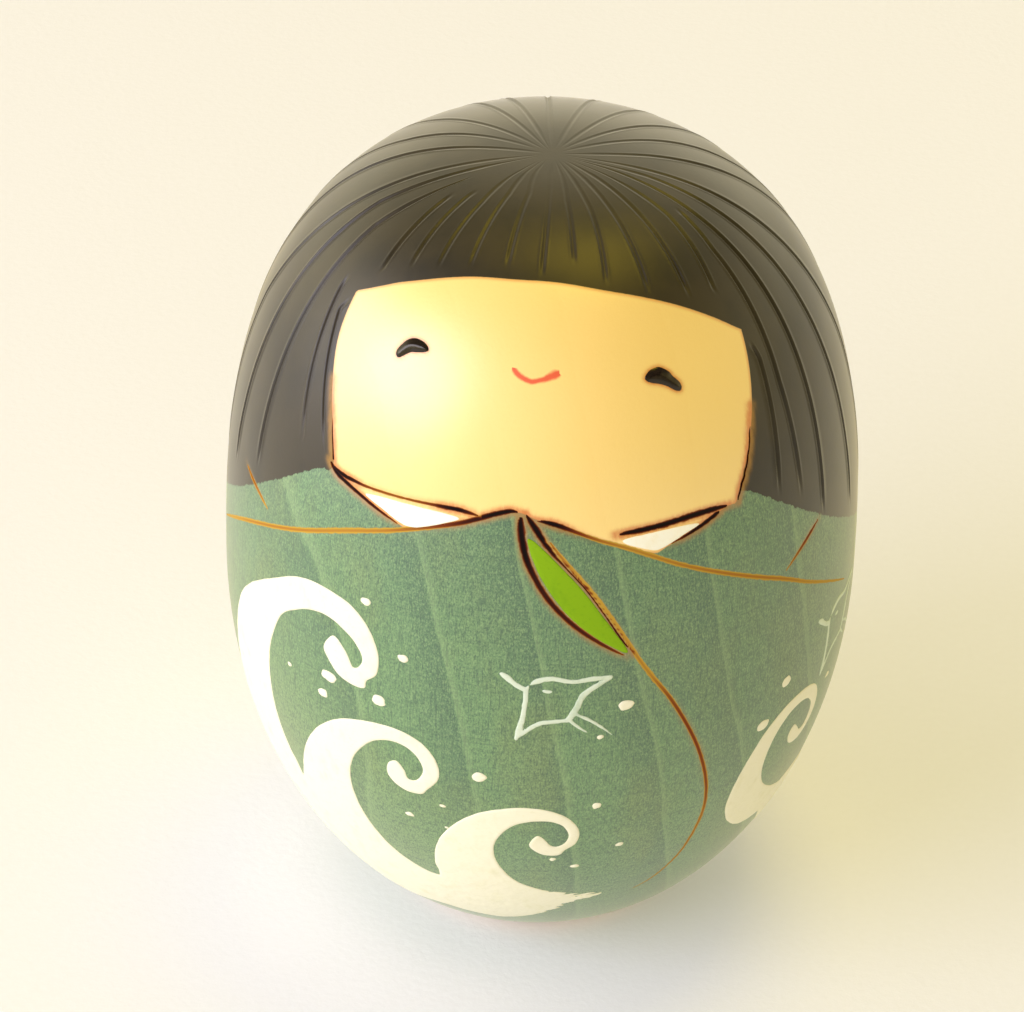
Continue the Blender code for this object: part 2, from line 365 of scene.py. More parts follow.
# Spray dots: azimuth, height, width along the azimuth and along the height.
SPRAY = [
    (-29.4, 63.7, 0.75, 0.55), (-21.6, 57.4, 0.75, 0.6), (-37.2, 50.2, 1.15, 0.75),
    (-38.7, 47.2, 0.75, 0.65), (-26.3, 49.9, 0.95, 0.75), (-47.6, 48.2, 0.4, 0.35),
    (-7.5, 41.6, 0.95, 0.75), (-14.5, 35.3, 0.45, 0.25), (-21.4, 32.2, 0.6, 0.4),
    (-14.1, 31.4, 0.3, 0.2), (6.4, 26.9, 0.4, 0.3), (14.0, 37.0, 0.6, 0.5),
    (19.5, 28.9, 0.55, 0.45), (11.1, 25.2, 0.5, 0.4), (18.1, 52.8, 1.0, 0.7),
    (13.7, 48.4, 0.45, 0.3), (53.0, 47.4, 0.95, 0.7), (47.7, 42.4, 1.0, 0.75),
    (70.5, 40.9, 0.6, 0.4),
]

# Brush lines of a small bird: azimuth, height, half width.
PLOVER = [
    [(-3.9, 57.9, 0.25), (-3.0, 57.5, 0.42), (-1.4, 56.5, 0.32), (0.3, 55.9, 0.36)]
    + [(1.0, 56.4, 0.12)],
    [(0.5, 55.9, 0.3), (0.4, 54.0, 0.32), (0.0, 51.5, 0.33), (-0.6, 49.4, 0.42)]
    + [(-1.0, 48.3, 0.2)],
    [(1.3, 56.6, 0.16), (2.4, 57.1, 0.36), (5.0, 57.5, 0.34), (8.5, 57.0, 0.3)]
    + [(12, 57.3, 0.34), (15.3, 57.4, 0.22)],
    [(15.2, 57.2, 0.2), (12.6, 56.2, 0.35), (10.4, 54.9, 0.4), (9.4, 53.2, 0.42)]
    + [(8.2, 51.6, 0.4), (7.2, 51.1, 0.2)],
    [(8.0, 51.3, 0.25), (5.4, 51.1, 0.3), (3.0, 50.8, 0.32), (1.0, 49.8, 0.3)]
    + [(-0.6, 48.7, 0.2)],
    [(9.2, 52.2, 0.2), (11.6, 51.2, 0.22), (13.8, 50.0, 0.18), (16.0, 48.4, 0.05)],
    [(8.2, 51.3, 0.2), (9.6, 50.3, 0.2), (11.2, 49.4, 0.08)],
    [(3.6, 55.7, 0.2), (4.4, 55.6, 0.26), (4.9, 55.6, 0.16)],
]
SECOND_PLOVER_TURN = 66.8
SECOND_PLOVER_DROP = -5.3

# Hair grooves. Each has the path of its column of the mesh, as (distance from the crown, azimuth),
# and the stretches of it that are cut, as distances from the crown.
HAIR_GROOVES = [
    ([(3, -175), (70, -177)], [(4.5, 79)]),
    ([(3, -160), (30, -162)], [(3.4, 80)]),
    ([(3, -148), (30, -151)], [(2.6, 80)]),
    ([(4, -132), (20, -129)], [(3.9, 77)]),
    ([(4, -118), (20, -111.5)], [(8.0, 73)]),
    ([(3, -98), (30, -98.5)], [(3.5, 71)]),
    ([(4, -75), (43, -85.5)], [(4.0, 67)]),
    ([(4, -66), (22, -73)], [(4.1, 63)]),
    ([(11, -60.5), (24, -64), (58, -62)], [(11.5, 59)]),
    ([(20, -59), (32, -57), (50, -49.5)], [(31.0, 51)]),
    ([(14, -54), (20, -51.5), (27, -49), (34, -53.2), (50, -43)], [(15.0, 27.6), (33.0, 50.5)]),
    ([(13, -46.5), (24, -41.8), (42, -35)], [(12.5, 25)]),
    ([(7, -41), (13, -37), (23, -33.5), (42, -26)], [(6.5, 23.6)]),
    ([(5, -33), (10, -27.5), (21, -24), (42, -18)], [(5.0, 22.2)]),
    ([(4.5, -22), (9, -14.5), (20, -12), (42, -9)], [(4.5, 21.2)]),
    ([(5, 1), (22, 0)], [(6.0, 21.9)]),
    ([(5, 16), (10, 13), (20, 11), (42, 9)], [(5.5, 20.2)]),
    ([(5, 27), (12, 25), (23, 20), (42, 18)], [(5.0, 23.4)]),
    ([(6, 38.5), (12, 36), (25, 31.8), (42, 27)], [(6.4, 25.6)]),
    ([(7, 49.5), (14, 47), (27, 43), (46, 38)], [(6.9, 27.6)]),
    ([(7, 59.5), (17, 57.5), (28, 51), (38, 54), (54, 51)], [(7.1, 28.6), (36.5, 55.5)]),
    ([(17, 64), (24, 60), (42, 57.2), (57, 57)], [(18.0, 57.5)]),
    ([(8, 69.5), (20, 67.5), (60, 64)], [(8.4, 62.5)]),
    ([(5, 74), (12, 76.5), (66, 77.3)], [(7.2, 67)]),
    ([(4, 81), (20, 85), (47, 91)], [(4.4, 70)]),
    ([(3, 95), (12, 100), (38, 109)], [(2.8, 73)]),
    ([(4, 120), (25, 115.5)], [(2.4, 76)]),
    ([(4, 136), (20, 133)], [(6.0, 77)]),
    ([(3, 150), (20, 151)], [(6.0, 80)]),
    ([(3, 167), (20, 168)], [(3.7, 79)]),
]
GROOVE_HALF_WIDTH, GROOVE_DEPTH, GROOVE_LIP = 0.37, 0.27, 0.085
# Columns of the mesh across half a groove, in half widths, and between one groove and the next.
GROOVE_STEPS = [0.0, 0.3, 0.65, 1.0, 1.45]
LAND_COLUMNS = 10
LAND = 9.0
ROW_SPACING = 0.38
# Near the whorl a groove takes up this share of the room, and the gouge goes in gradually.
MOST_GROOVE_SHARE = 0.3
WHORL_ARC, NEAR_WHORL_ARC, WHORL_CROWDING = 0.9, 9.0, 0.3
TOOL_ENTRY = (-4, 40)
# Grooves that stop before this arc end at the fringe, and more suddenly than the others.
FRINGE_ARC, FRINGE_RUN_OUT, LONG_RUN_OUT = 30.0, 2.4, 5.0
BURNT_DEPTH = 0.1

# -------- The carved block


def hair_line(azimuth):
    """Height of the hair's lower edge. In front of the ears it's lifted out of the face's way."""
    side = np.abs((azimuth + 180) % 360 - 180)
    fall = np.clip((side - HAIR_FALL_START) / HAIR_FALL_ANGLE, 0, None) ** HAIR_FALL_POWER
    height = HAIR_NAPE_HEIGHT + (HAIR_TEMPLE_HEIGHT - HAIR_NAPE_HEIGHT) * np.exp(-fall)
    return height + HAIR_FRONT_LIFT * smooth_step(41, 37, side)


def groove_columns(arcs):
    """Azimuths of every column at each row, and each column's place across its groove."""
    guides = [np.interp(arcs, *zip(*path)) for path, _ in HAIR_GROOVES]
    guides.append(guides[0] + 360)
    radius = np.maximum(radius_at(height_at(arcs)), 1e-3)
    columns, places, owners = [], [], []
    count = len(HAIR_GROOVES)
    half = []
    for i in range(count):
        gap_after = guides[i + 1] - guides[i]
        gap_before = guides[i] - (guides[i - 1] if i else guides[count - 1] - 360)
        room = MOST_GROOVE_SHARE * np.minimum(gap_after, gap_before)
        half.append(np.minimum(np.degrees(GROOVE_HALF_WIDTH / radius), room))
    half.append(half[0])
    for i in range(count):
        for step in GROOVE_STEPS:
            columns.append(guides[i] + step * half[i])
            places.append(step)
            owners.append(i)
        low = guides[i] + GROOVE_STEPS[-1] * half[i]
        high = guides[i + 1] - GROOVE_STEPS[-1] * half[i + 1]
        for k in range(1, LAND_COLUMNS + 1):
            columns.append(low + (high - low) * k / (LAND_COLUMNS + 1))
            places.append(LAND)
            owners.append(i)
        for step in GROOVE_STEPS[:0:-1]:
            columns.append(guides[i + 1] - step * half[i + 1])
            places.append(step)
            owners.append((i + 1) % count)
    return np.array(columns).T, np.array(places), np.array(owners), cut_widths(half, radius)


def cut_widths(half, radius):
    """Width of each groove at each row as a share of a full cut: the cuts thin out at the whorl."""
    full = np.degrees(GROOVE_HALF_WIDTH / radius)
    return [width / full for width in half]


def groove_profile(place):
    """Depth across a gouge cut as a share of its depth: a V with a slightly raised lip."""
    cut = np.clip(1 - place, 0, 1) ** 0.85
    lip = np.clip(1 - np.abs(place - 1.0) / 0.45, 0, 1)
    return cut - GROOVE_LIP / GROOVE_DEPTH * lip


def groove_depths(arcs, places, owners, widths):
    """How deep the block is cut at each row and column. The cuts deepen away from the whorl."""
    rng = np.random.default_rng(7)
    depth = np.zeros((len(arcs), len(places)))
    for index, (_, cuts) in enumerate(HAIR_GROOVES):
        columns = owners == index
        shape = groove_profile(places[columns])
        strength = rng.uniform(0.85, 1.15)
        for start, end in cuts:
            begin = start
            if start < NEAR_WHORL_ARC:
                begin = WHORL_ARC + WHORL_CROWDING * (start - WHORL_ARC)
            run_out = FRINGE_RUN_OUT if end < FRINGE_ARC else LONG_RUN_OUT
            tool_in = smooth_step(begin - 0.8, begin + 0.8, arcs) * smooth_step(*TOOL_ENTRY, arcs)
            tool_out = smooth_step(end + 0.3, end - run_out, arcs)
            wander = 1 + 0.12 * hand_noise(arcs / 6, np.full(len(arcs), index * 3.7), 11)
            along = GROOVE_DEPTH * strength * tool_in * tool_out * wander * np.sqrt(widths[index])
            depth[:, columns] += along[:, None] * shape[None, :]
    return depth


def near(azimuth, height, path, reach=4.0):
    """The vertices close enough to a path to be worth measuring."""
    wide = np.degrees(reach / np.maximum(radius_at(height), 5))
    inside = (azimuth > path[:, 0].min() - wide) & (azimuth < path[:, 0].max() + wide)
    return inside & (height > path[:, 1].min() - reach) & (height < path[:, 1].max() + reach)


MOST_HALF_WIDTHS = 8.0
FAR_OFF = 99.0
MOST_DEPTH_IN = 20.0
SINGE_REACH, EYE_HALO_REACH = 0.75, 0.35


def line_field(azimuth, height, points):
    """A drawn line: signed distance in half widths, where it's drawn, darkness and distance."""
    path = rounded(points)
    path[[0, -1], 2] = 0.04
    share = np.full(azimuth.shape, MOST_HALF_WIDTHS)
    drawn = np.zeros(azimuth.shape)
    dark = np.zeros(azimuth.shape)
    distance = np.full(azimuth.shape, FAR_OFF)
    close = near(azimuth, height, path)
    signed, extras = line_distance(azimuth[close], height[close], path)
    width = extras[:, 0]
    share[close] = np.clip(signed / np.maximum(width, 0.04), -MOST_HALF_WIDTHS, MOST_HALF_WIDTHS)
    drawn[close] = smooth_step(0.05, 0.1, width) * smooth_step(2.0, 1.2, np.abs(signed))
    distance[close] = np.abs(signed)
    if extras.shape[1] > 1:
        dark[close] = extras[:, 1]
    return share, drawn, dark, distance


def face_outline():
    sides = [rounded(FACE_TOP)[:-1], rounded(FACE_RIGHT)[:-1], np.array(FACE_FOOT)[:-1]]
    return np.vstack(sides + [rounded(FACE_LEFT)[:-1]])


def skin_fields(azimuth, height):
    """Every region and drawn line of the decoration, as one value for each vertex."""
    fields = {}
    folded = (azimuth + 180) % 360 - 180
    face = np.full(azimuth.shape, -MOST_DEPTH_IN)
    outline = face_outline()
    close = near(folded, height, outline, 6.0)
    face[close] = -area_distance(folded[close], height[close], outline)
    above_line = (height - hair_line(folded)) * HAIR_EDGE_LEAN
    hair = np.minimum(above_line, -face)
    fields["face"] = np.clip(face, -MOST_DEPTH_IN, MOST_DEPTH_IN)
    fields["hair"] = np.clip(hair, -MOST_DEPTH_IN, MOST_DEPTH_IN)
    nearest = np.full(azimuth.shape, FAR_OFF)
    dark = np.zeros(azimuth.shape)
    halo = np.zeros(azimuth.shape)
    for name, points in BURNT_LINES.items():
        share, drawn, line_dark, distance = line_field(folded, height, points)
        fields["burn_" + name] = share
        fields["drawn_" + name] = drawn
        dark = np.where(distance < nearest, line_dark, dark)
        nearest = np.minimum(nearest, distance)
        halo = np.maximum(halo, line_dark * np.exp(-((distance / SINGE_REACH) ** 2)))
    fields["burn_dark"] = dark
    fields["burn_halo"] = halo
    fields["burn_mouth"], fields["drawn_mouth"] = line_field(folded, height, MOUTH)[:2]
    eyes = np.zeros(azimuth.shape)
    for eye in (LEFT_EYE, RIGHT_EYE):
        ring = rounded(eye, closed=True)
        close = near(folded, height, ring, 4.0)
        distance = area_distance(folded[close], height[close], ring)
        eyes[close] = np.maximum(eyes[close], np.exp(-np.clip(distance, 0, None) / EYE_HALO_REACH))
    fields["eye_halo"] = eyes
    return fields


def new_mesh(name, points, faces, fields=None):
    """A smooth-shaded object from points in millimetres, with one value per vertex for each field."""
    mesh = bpy.data.meshes.new(name)
    sizes = np.array([len(face) for face in faces]) if isinstance(faces, list) else None
    loops = np.concatenate(faces) if sizes is not None else np.asarray(faces).ravel()
    if sizes is None:
        sizes = np.full(len(faces), faces.shape[1])
    mesh.vertices.add(len(points))
    mesh.vertices.foreach_set("co", (np.asarray(points) * MM).astype(np.float32).ravel())
    mesh.loops.add(len(loops))
    mesh.loops.foreach_set("vertex_index", loops.astype(np.int32))
    mesh.polygons.add(len(sizes))
    starts = np.concatenate([[0], np.cumsum(sizes)[:-1]])
    mesh.polygons.foreach_set("loop_start", starts.astype(np.int32))
    mesh.update(calc_edges=True)
    mesh.validate()
    mesh.shade_smooth()
    for field, values in (fields or {}).items():
        layer = mesh.attributes.new(field, "FLOAT", "POINT")
        layer.data.foreach_set("value", np.asarray(values, np.float32))
    made = bpy.data.objects.new(name, mesh)
    bpy.context.scene.collection.objects.link(made)
    return made


def ring_faces(first, second, count):
    """Quads between two rings of vertices, the first one nearer the crown on the outside."""
    here = np.arange(count)
    there = (here + 1) % count
    return np.stack([first + here, second + here, second + there, first + there], axis=1)


def make_body(material):
    """The block: carved and incised skin, rounded foot edge, foot and relief bore, all one surface."""
    last = OUTLINE_ARCS[-1]
    arcs = np.concatenate([[0.35], np.arange(0.8, last, ROW_SPACING), [last]])
    azimuth, places, owners, widths = groove_columns(arcs)
    height = np.repeat(height_at(arcs)[:, None], azimuth.shape[1], axis=1)
    fields = skin_fields(azimuth.ravel(), height.ravel())
    depth = groove_depths(arcs, places, owners, widths)
    incised = np.zeros(azimuth.size)
    for name in BURNT_LINES:
        across = smooth_step(1.6, 0.2, np.abs(fields["burn_" + name]))
        incised = np.maximum(incised, BURNT_DEPTH * across * fields["drawn_" + name])
    depth += (incised * (0.3 + 0.7 * fields["burn_dark"])).reshape(depth.shape)
    skin = skin_points(azimuth, height, -depth).reshape(-1, 3)
    count = azimuth.shape[1]
    rows = len(arcs)
    edge_azimuth = np.radians(azimuth[-1])
    foot_radius = radius_at(height_at(last)) - FOOT_EDGE
    rings = [
        (foot_radius + FOOT_EDGE * 0.45, FOOT_HEIGHT + FOOT_EDGE * 0.3),
        (foot_radius - FOOT_EDGE * 0.4, FOOT_HEIGHT),
        (BORE_RADIUS, FOOT_HEIGHT),
        (BORE_RADIUS, BORE_SHOULDER),
    ]
    around = np.stack([np.sin(edge_azimuth), -np.cos(edge_azimuth)], axis=1)
    lower = [np.column_stack([around * r, np.full(count, z)]) for r, z in rings]
    points = np.vstack([skin] + lower + [[[0, 0, CROWN_HEIGHT]], [[0, 0, BORE_TIP]]])
    crown, tip = len(points) - 2, len(points) - 1
    quads = [ring_faces(i * count, (i + 1) * count, count) for i in range(rows + len(rings) - 1)]
    here = np.arange(count)
    there = (here + 1) % count
    top = np.stack([np.full(count, crown), here, there], axis=1)
    final = (rows + len(rings) - 1) * count
    end = np.stack([final + here, np.full(count, tip), final + there], axis=1)
    faces = list(np.vstack(quads)) + list(top) + list(end)
    padding = len(points) - azimuth.size
    for name, values in fields.items():
        fill = -MOST_DEPTH_IN if name in ("face", "hair") else 0.0
        fields[name] = np.concatenate([values, np.full(padding, fill)])
    under = np.concatenate([np.zeros(azimuth.size), np.ones(padding)])
    under[crown] = 0
    fields["hair"][crown] = MOST_DEPTH_IN
    fields["underside"] = under
    body = new_mesh("carved_body", points, faces, fields)
    body.data.materials.append(material)
    return body


# -------- Paint films

FILM_CELL = 0.22
FILM_ROOT = 0.05
FILM_EDGE_LIFT = 0.012


def clip_triangles(triangles, values):
    """Keeps the part of each triangle where the value is below zero. New corners lie on edges."""
    inside = values[triangles] < 0
    count = inside.sum(axis=1)
    kept = [triangles[count == 3]]
    edges = []
    for wanted, lone_is_inside in ((1, True), (2, False)):
        chosen = triangles[count == wanted]
        lone = np.argmax(inside[count == wanted] == lone_is_inside, axis=1)
        turn = (lone[:, None] + np.arange(3)[None, :]) % 3
        a, b, c = np.take_along_axis(chosen, turn, axis=1).T
        edges.append((a, b, c))
    pairs = np.concatenate([np.stack([a, other], 1) for a, b, c in edges for other in (b, c)])
    ordered = np.sort(pairs, axis=1)
    unique, index = np.unique(ordered, axis=0, return_inverse=True)
    index = index.reshape(-1) + len(values)
    ones, twos = len(edges[0][0]), len(edges[1][0])
    ab1, ac1 = index[:ones], index[ones : 2 * ones]
    ab2, ac2 = index[2 * ones : 2 * ones + twos], index[2 * ones + twos :]
    kept.append(np.stack([edges[0][0], ab1, ac1], 1))
    _, b, c = edges[1]
    kept.append(np.stack([ab2, b, c], 1))
    kept.append(np.stack([ab2, c, ac2], 1))
    return np.vstack(kept), unique


def make_film(name, field, window, material, thickness, edge=0.35, relief=None, cell=FILM_CELL):
    """A thin closed layer of paint on the skin, wherever the field is below zero."""
    west, east, low, high = window
    columns = int(math.radians(east - west) * BODY_RADIUS / cell) + 2
    top_arc, foot_arc = arc_at(high), arc_at(low)
    rows = int((foot_arc - top_arc) / cell) + 2
    across, down = np.linspace(west, east, columns), np.linspace(top_arc, foot_arc, rows)
    azimuth, arc = np.meshgrid(across, down)
    azimuth, arc = azimuth.ravel(), arc.ravel()
    value = field(azimuth, height_at(arc))
    corner = (np.arange(rows - 1)[:, None] * columns + np.arange(columns - 1)[None, :]).ravel()
    first = np.stack([corner, corner + columns, corner + columns + 1], 1)
    second = np.stack([corner, corner + columns + 1, corner + 1], 1)
    triangles, cut = clip_triangles(np.vstack([first, second]), value)
    a, b = cut.T
    share = np.clip(value[a] / (value[a] - value[b]), 0.04, 0.96)
    azimuth = np.concatenate([azimuth, azimuth[a] + share * (azimuth[b] - azimuth[a])])
    arc = np.concatenate([arc, arc[a] + share * (arc[b] - arc[a])])
    value = np.concatenate([value, np.zeros(len(cut))])
    used, triangles = np.unique(triangles, return_inverse=True)
    triangles = triangles.reshape(-1, 3)
    azimuth, height, inset = azimuth[used], height_at(arc[used]), np.clip(-value[used], 0, None)
    lift = FILM_EDGE_LIFT + thickness * np.sqrt(smooth_step(0, edge, inset))
    if relief:
        lift = lift + relief(azimuth, height) * smooth_step(0, 2 * edge, inset)
    top = skin_points(azimuth, height, lift)
    under = skin_points(azimuth, height, -FILM_ROOT)
    count = len(top)
    directed = np.concatenate([triangles[:, [0, 1]], triangles[:, [1, 2]], triangles[:, [2, 0]]])
    keys = directed[:, 0] * count + directed[:, 1]
    rim = directed[~np.isin(directed[:, 1] * count + directed[:, 0], keys)]
    u, v = rim.T
    walls = np.vstack([np.stack([v, u, u + count], 1), np.stack([v, u + count, v + count], 1)])
    faces = np.vstack([triangles, triangles[:, ::-1] + count, walls])
    points = np.vstack([top, under])
    film = new_mesh(name, points, faces, {"inset": np.tile(inset, 2)})
    film.data.materials.append(material)
    return film


def window_round(outlines, margin=1.5):
    """The stretch of skin that holds these outlines: west, east, low and high."""
    points = np.vstack([np.asarray(outline, float)[:, :2] for outline in outlines])
    low, high = points.min(axis=0) - margin, points.max(axis=0) + margin
    return low[0], high[0], max(low[1], FOOT_HEIGHT + 1.2), high[1]


def areas_field(outlines, ragged=0.03):
    """The union of several outlines, with the small unevenness of a hand-held brush."""
    rings = [rounded(outline, closed=True) for outline in outlines]

    def field(azimuth, height):
        found = np.full(azimuth.shape, 9.0)
        for ring in rings:
            close = near(azimuth, height, ring, 2.5)
            distance = area_distance(azimuth[close], height[close], ring)
            found[close] = np.minimum(found[close], distance)
        return found + ragged * unevenness(azimuth, height, 0.8, 0.8, 5)

    return field


def strokes_field(strokes, turn, rise):
    """Brush lines, moved round the doll and up by these amounts."""
    paths = [rounded(stroke) for stroke in strokes]

    def field(azimuth, height):
        found = np.full(azimuth.shape, 9.0)
        for path in paths:
            moved = path + np.array([turn, rise] + [0] * (path.shape[1] - 2))
            close = near(azimuth, height, moved, 2.0)
            signed, extras = line_distance(azimuth[close], height[close], moved)
            found[close] = np.minimum(found[close], np.abs(signed) - extras[:, 0])
        return found + 0.05 * unevenness(azimuth, height, 0.5, 0.5, 9)

    return field


def dots_field(dots):
    """Round spots with slightly uneven edges."""

    def field(azimuth, height):
        found = np.full(azimuth.shape, 9.0)
        for dot_azimuth, dot_height, width, tall in dots:
            x = np.radians(azimuth - dot_azimuth) * radius_at(dot_height)
            y = height - dot_height
            away = (np.hypot(x / width, y / tall) - 1) * min(width, tall)
            found = np.minimum(found, away)
        return found + 0.12 * unevenness(azimuth, height, 0.45, 0.45, 21)

    return field


def turned(outlines, turn, rise):
    return [[(azimuth + turn, height + rise) for azimuth, height in outline] for outline in outlines]


def dry_brush(field, west, east, low, high, strength):
    """A field whose paint breaks up into bristle marks towards the east of a patch of skin."""

    def broken(azimuth, height):
        x = np.radians(azimuth) * BODY_RADIUS
        rise = height - 0.12 * x
        bristles = hand_noise(x / 2.6, rise / 0.22, 31) + 0.5 * hand_noise(x / 1.1, rise / 0.3, 33)
        where = smooth_step(west, east, azimuth) * smooth_step(high, high - 3, height)
        where = where * smooth_step(low - 2, low + 1, height)
        return field(azimuth, height) + strength * where * np.clip(bristles + 0.15, 0, 1)

    return broken


def brush_relief(azimuth, height):
    """The rise and fall of a loaded brush's paint, in millimetres."""
    broad = unevenness(azimuth, height, 1.3, 0.9, 41)
    return 0.02 * broad + 0.012 * unevenness(azimuth, height, 0.5, 0.4, 43)


# -------- Materials


def srgb(red, green, blue):
    """A colour as a screen shows it, 0 to 255, in linear light."""
    shares = [value / 255 for value in (red, green, blue)]
    linear = [v / 12.92 if v <= 0.04045 else ((v + 0.055) / 1.055) ** 2.4 for v in shares]
    return (*linear, 1.0)


class NodeTree:
    """The node sums that materials and the world share, wired into one shader."""

    def __init__(self, owner, shader):
        owner.use_nodes = True
        self.tree = owner.node_tree
        self.shader = self.tree.nodes[shader]

    def put(self, socket, value):
        if isinstance(value, bpy.types.NodeSocket):
            self.tree.links.new(value, socket)
        else:
            socket.default_value = value

    def set(self, name, value):
        self.put(self.shader.inputs[name], value)

    def vector(self, operation, first, second=None, **named):
        made = self.tree.nodes.new("ShaderNodeVectorMath")
        made.operation = operation
        self.put(made.inputs[0], first)
        if second is not None:
            self.put(made.inputs[1], second)
        for name, value in named.items():
            self.put(made.inputs[name], value)
        return made.outputs["Value" if operation in ("DOT_PRODUCT", "DISTANCE") else "Vector"]

    def math(self, operation, *values, clamp=False):
        made = self.tree.nodes.new("ShaderNodeMath")
        made.operation = operation
        made.use_clamp = clamp
        for socket, value in zip(made.inputs, values):
            self.put(socket, value)
        return made.outputs[0]

    def mix(self, share, first, second, kind="MIX"):
        made = self.tree.nodes.new("ShaderNodeMix")
        made.data_type = "RGBA"
        made.blend_type = kind
        self.put(made.inputs["Factor"], share)
        self.put(made.inputs[6], first)
        self.put(made.inputs[7], second)
        return made.outputs[2]

    def tinge(self, base, colour, value, low, high, share=1.0):
        """The base colour, turning into another by this share where a value goes from low to high."""
        return self.mix(self.step(value, low, high, 0, share), base, colour)

    def step(self, value, low, high, start=0.0, end=1.0, shape="SMOOTHSTEP"):
        made = self.tree.nodes.new("ShaderNodeMapRange")
        made.interpolation_type = shape
        for socket, number in zip(made.inputs, (value, low, high, start, end)):
            self.put(socket, number)
        return made.outputs[0]


class Finish(NodeTree):
    """A material round one Principled shader, with its pattern worked out in millimetres."""

    def __init__(self, name, roughness):
        self.material = bpy.data.materials.new(name)
        super().__init__(self.material, "Principled BSDF")
        self.set("Roughness", roughness)
        place = self.tree.nodes.new("ShaderNodeTexCoord").outputs["Object"]
        self.place = self.vector("SCALE", place, Scale=1 / MM)

    def noise(self, size, stretch=(1, 1, 1), detail=2.0, roughness=0.5, shift=0.0):
        """Noise from 0 to 1 with bumps about this many millimetres apart, longer where stretched."""
        scaled = [1 / (size * share) for share in stretch]
        place = self.vector("MULTIPLY", self.place, scaled)
        place = self.vector("ADD", place, (shift, shift, shift))
        made = self.tree.nodes.new("ShaderNodeTexNoise")
        made.inputs["Scale"].default_value = 1.0
        made.inputs["Detail"].default_value = detail
        made.inputs["Roughness"].default_value = roughness
        self.put(made.inputs["Vector"], place)
        return made.outputs["Fac"]

    def rings(self):
        """Place in its growth ring, from 0 to 1, round a pith that leans a little."""
        lean = self.tree.nodes.new("ShaderNodeMapping")
        lean.inputs["Rotation"].default_value = (0, RING_LEAN, 0)
        self.put(lean.inputs["Vector"], self.place)
        flat = self.vector("MULTIPLY", lean.outputs[0], (1, 1, 0))
        distance = self.vector("DISTANCE", flat, PITH)
        wander = self.math("MULTIPLY", self.noise(16, (1, 1, 2.5), 2, 0.5, 3.1), RING_WANDER)
        turns = self.math("ADD", self.math("DIVIDE", distance, RING_SPACING), wander)
        return self.math("FRACT", self.math("SUBTRACT", turns, FIRST_RING))

    def late_wood(self, rings):
        """The dark outer side of each ring, with its sudden end."""
        return self.math("MULTIPLY", self.math("POWER", rings, 3.5), self.step(rings, 1.0, 0.97))

    def field(self, name):
        made = self.tree.nodes.new("ShaderNodeAttribute")
        made.attribute_name = name
        return made.outputs["Fac"]

    def ramp(self, value, stops):
        made = self.tree.nodes.new("ShaderNodeValToRGB")
        points = made.color_ramp.elements
        points[0].position, points[1].position = stops[0][0], stops[-1][0]
        points[0].color, points[1].color = stops[0][1], stops[-1][1]
        for place, colour in stops[1:-1]:
            points.new(place).color = colour
        self.put(made.inputs[0], value)
        return made.outputs[0]

    def bump(self, height, depth, below=None):
        """Relief of this many millimetres for a height that goes from 0 to 1."""
        made = self.tree.nodes.new("ShaderNodeBump")
        made.inputs["Distance"].default_value = depth * MM
        self.put(made.inputs["Height"], height)
        if below is not None:
            self.put(made.inputs["Normal"], below)
        return made.outputs[0]


def wood_colour(finish, light, dark, contrast=1.0):
    """Pale close-grained wood: soft growth rings and short upright vessel flecks."""
    rings = finish.late_wood(finish.rings())
    flecks = finish.noise(0.32, (1, 1, 7), 2, 0.6)
    cloud = finish.noise(11, (1, 1, 2), 3, 0.5, 7.7)
    base = finish.mix(finish.math("MULTIPLY", rings, 0.4 * contrast), light, dark)
    base = finish.tinge(base, dark, cloud, 0.45, 0.8, 0.35 * contrast)
    return finish.tinge(base, dark, flecks, 0.5, 0.75, 0.4 * contrast)


def stain_colour(finish):
    """Green stain that lets the wood through: ring edges, upright fibres and faint lathe lines."""
    rings = finish.rings()
    grain = finish.math("MULTIPLY", finish.late_wood(rings), 0.85)
    base = finish.mix(grain, STAIN_LIGHT, STAIN_DARK)
    cloud = finish.noise(9, (1, 1, 1.8), 3, 0.55, 1.9)
    base = finish.tinge(base, STAIN_HAZE, cloud, 0.44, 0.72, 0.55)
    # Painted light and shade: the robe is lighter and hazier towards the lower left, where the light
    # falls, and darker in painted shade towards the upper right.
    lit_lower_left = finish.vector("DOT_PRODUCT", finish.place, (-0.6, 0, -0.8))
    base = finish.tinge(base, STAIN_PAINTED_LIGHT, lit_lower_left, -32, 0, 0.6)
    base = finish.tinge(base, STAIN_DARK, lit_lower_left, -35, -60, 0.4)
    speckle = finish.noise(0.2, (1, 1, 1.8), 2, 0.75, 4.4)
    base = finish.tinge(base, STAIN_SPECK, speckle, 0.5, 0.66, 0.6)
    base = finish.tinge(base, STAIN_FLECK, speckle, 0.5, 0.34, 0.7)
    fibres = finish.noise(0.2, (1, 1, 12), 2, 0.55, 9.2)
    base = finish.tinge(base, STAIN_FLECK, fibres, 0.5, 0.66, 0.5)
    lathe = finish.noise(0.2, (40, 40, 1), 2, 0.6, 2.2)
    base = finish.tinge(base, STAIN_FLECK, lathe, 0.52, 0.72, 0.35)
    return finish.tinge(base, STAIN_SPECK, rings, 0.1, 0.0, 0.3)


# Growth rings: the pith stands beside the doll, and the rings are counted outwards from it.
PITH, RING_SPACING, RING_LEAN = (-90, -60, 0), 11.4, math.radians(10.2)
RING_WANDER, FIRST_RING = 0.35, 0.34

